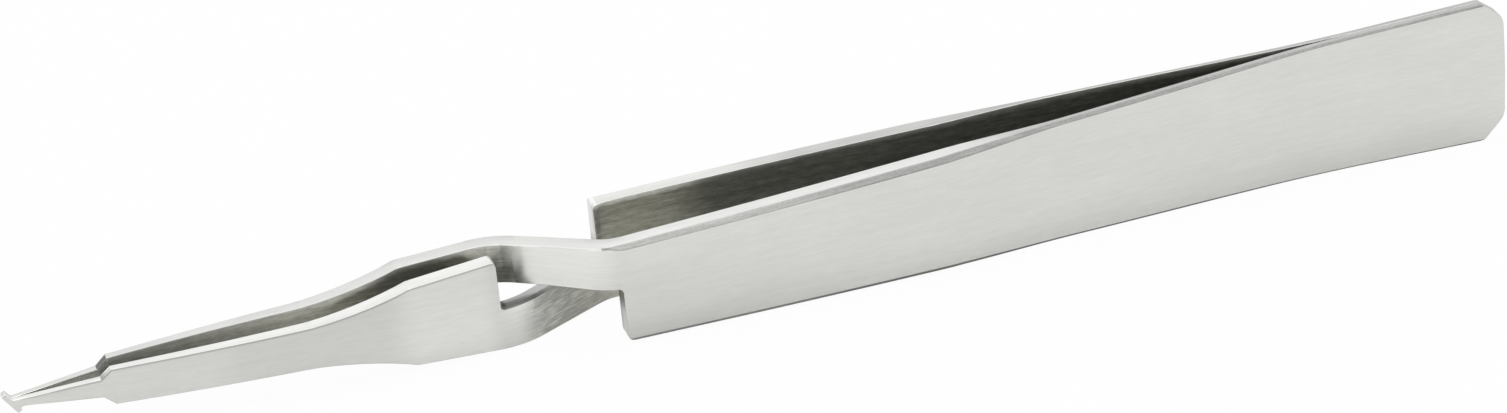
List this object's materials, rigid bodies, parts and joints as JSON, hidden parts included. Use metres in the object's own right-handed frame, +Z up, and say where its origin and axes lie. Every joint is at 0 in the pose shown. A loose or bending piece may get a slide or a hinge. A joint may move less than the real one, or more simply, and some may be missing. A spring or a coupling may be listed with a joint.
{
  "type": "angled smd tweezers",
  "caption": "Self-closing crossover tweezers with bowed spring steel arms, cut-away crossing necks and short angled feet on needle tips.",
  "frame": {"origin": "middle of the tool's length and breadth, on the surface that the lower long edges of the grips rest on", "axes": "+X along the tool towards the butt, the feet point to -X; +Y across the gap towards the rear arm; +Z up across the width of the strips"},
  "size_m": [0.115, 0.0086, 0.0115],
  "materials": {
    "steel": "stainless steel, ground and brushed along the arms, satin",
    "weld": "resistance weld nugget inside the heel, never seen"
  },
  "bodies": {
    "heel": {"front_heel": "steel", "rear_heel": "steel", "spot_welds": "weld"},
    "front_arm": {"front_blade": "steel"},
    "rear_arm": {"rear_blade": "steel"}
  },
  "joints": [
    {"name": "front_arm_flex", "type": "hinge", "parent": "heel", "child": "front_arm", "pos_m": [0.03549, -0.0006, 0.00522], "axis": [0.0264, 0, -0.9997], "range_deg": [0, 3], "stiffness_Nm_per_rad": 1.4, "springref_deg": -2.29},
    {"name": "rear_arm_flex", "type": "hinge", "parent": "heel", "child": "rear_arm", "pos_m": [0.03549, 0.00058, 0.00522], "axis": [-0.0264, 0, 0.9997], "range_deg": [0, 3], "stiffness_Nm_per_rad": 1.4, "springref_deg": -2.29}
  ],
  "couplings": [
    {"joint": "rear_arm_flex", "follows": "front_arm_flex", "ratio": 1}
  ]
}
